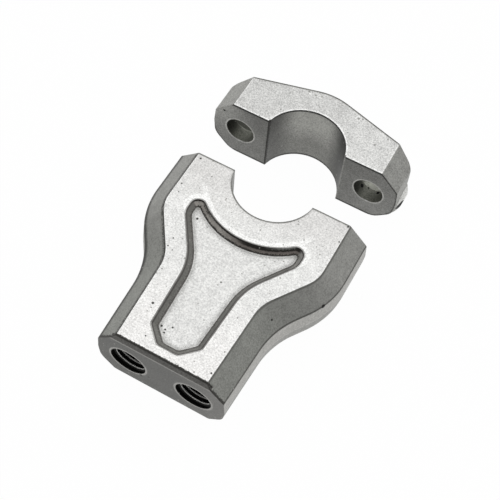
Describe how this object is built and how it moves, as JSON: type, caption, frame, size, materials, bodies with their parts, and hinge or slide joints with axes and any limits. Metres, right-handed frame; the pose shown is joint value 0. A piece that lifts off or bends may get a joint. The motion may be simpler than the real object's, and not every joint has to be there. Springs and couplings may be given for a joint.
{
  "type": "motorbike handlebar clamp",
  "caption": "Cast aluminium handlebar riser with a half-round bar saddle, a Y-shaped recess and threaded foot holes, shown with its clamp cap drawn off.",
  "frame": {"origin": "axis of the riser's bar saddle, at the back faces that both pieces lie on", "axes": "+Z along the handlebar's axis, out of the front faces; +Y from the foot to the cap; +X to the right seen from the front"},
  "size_m": [0.0553, 0.0887, 0.0194],
  "materials": {
    "riser_cast": "satin, as cast and blasted",
    "cap_cast": "satin, as cast and blasted"
  },
  "bodies": {
    "root": {"riser": "riser_cast", "cap": "cap_cast"}
  },
  "joints": []
}
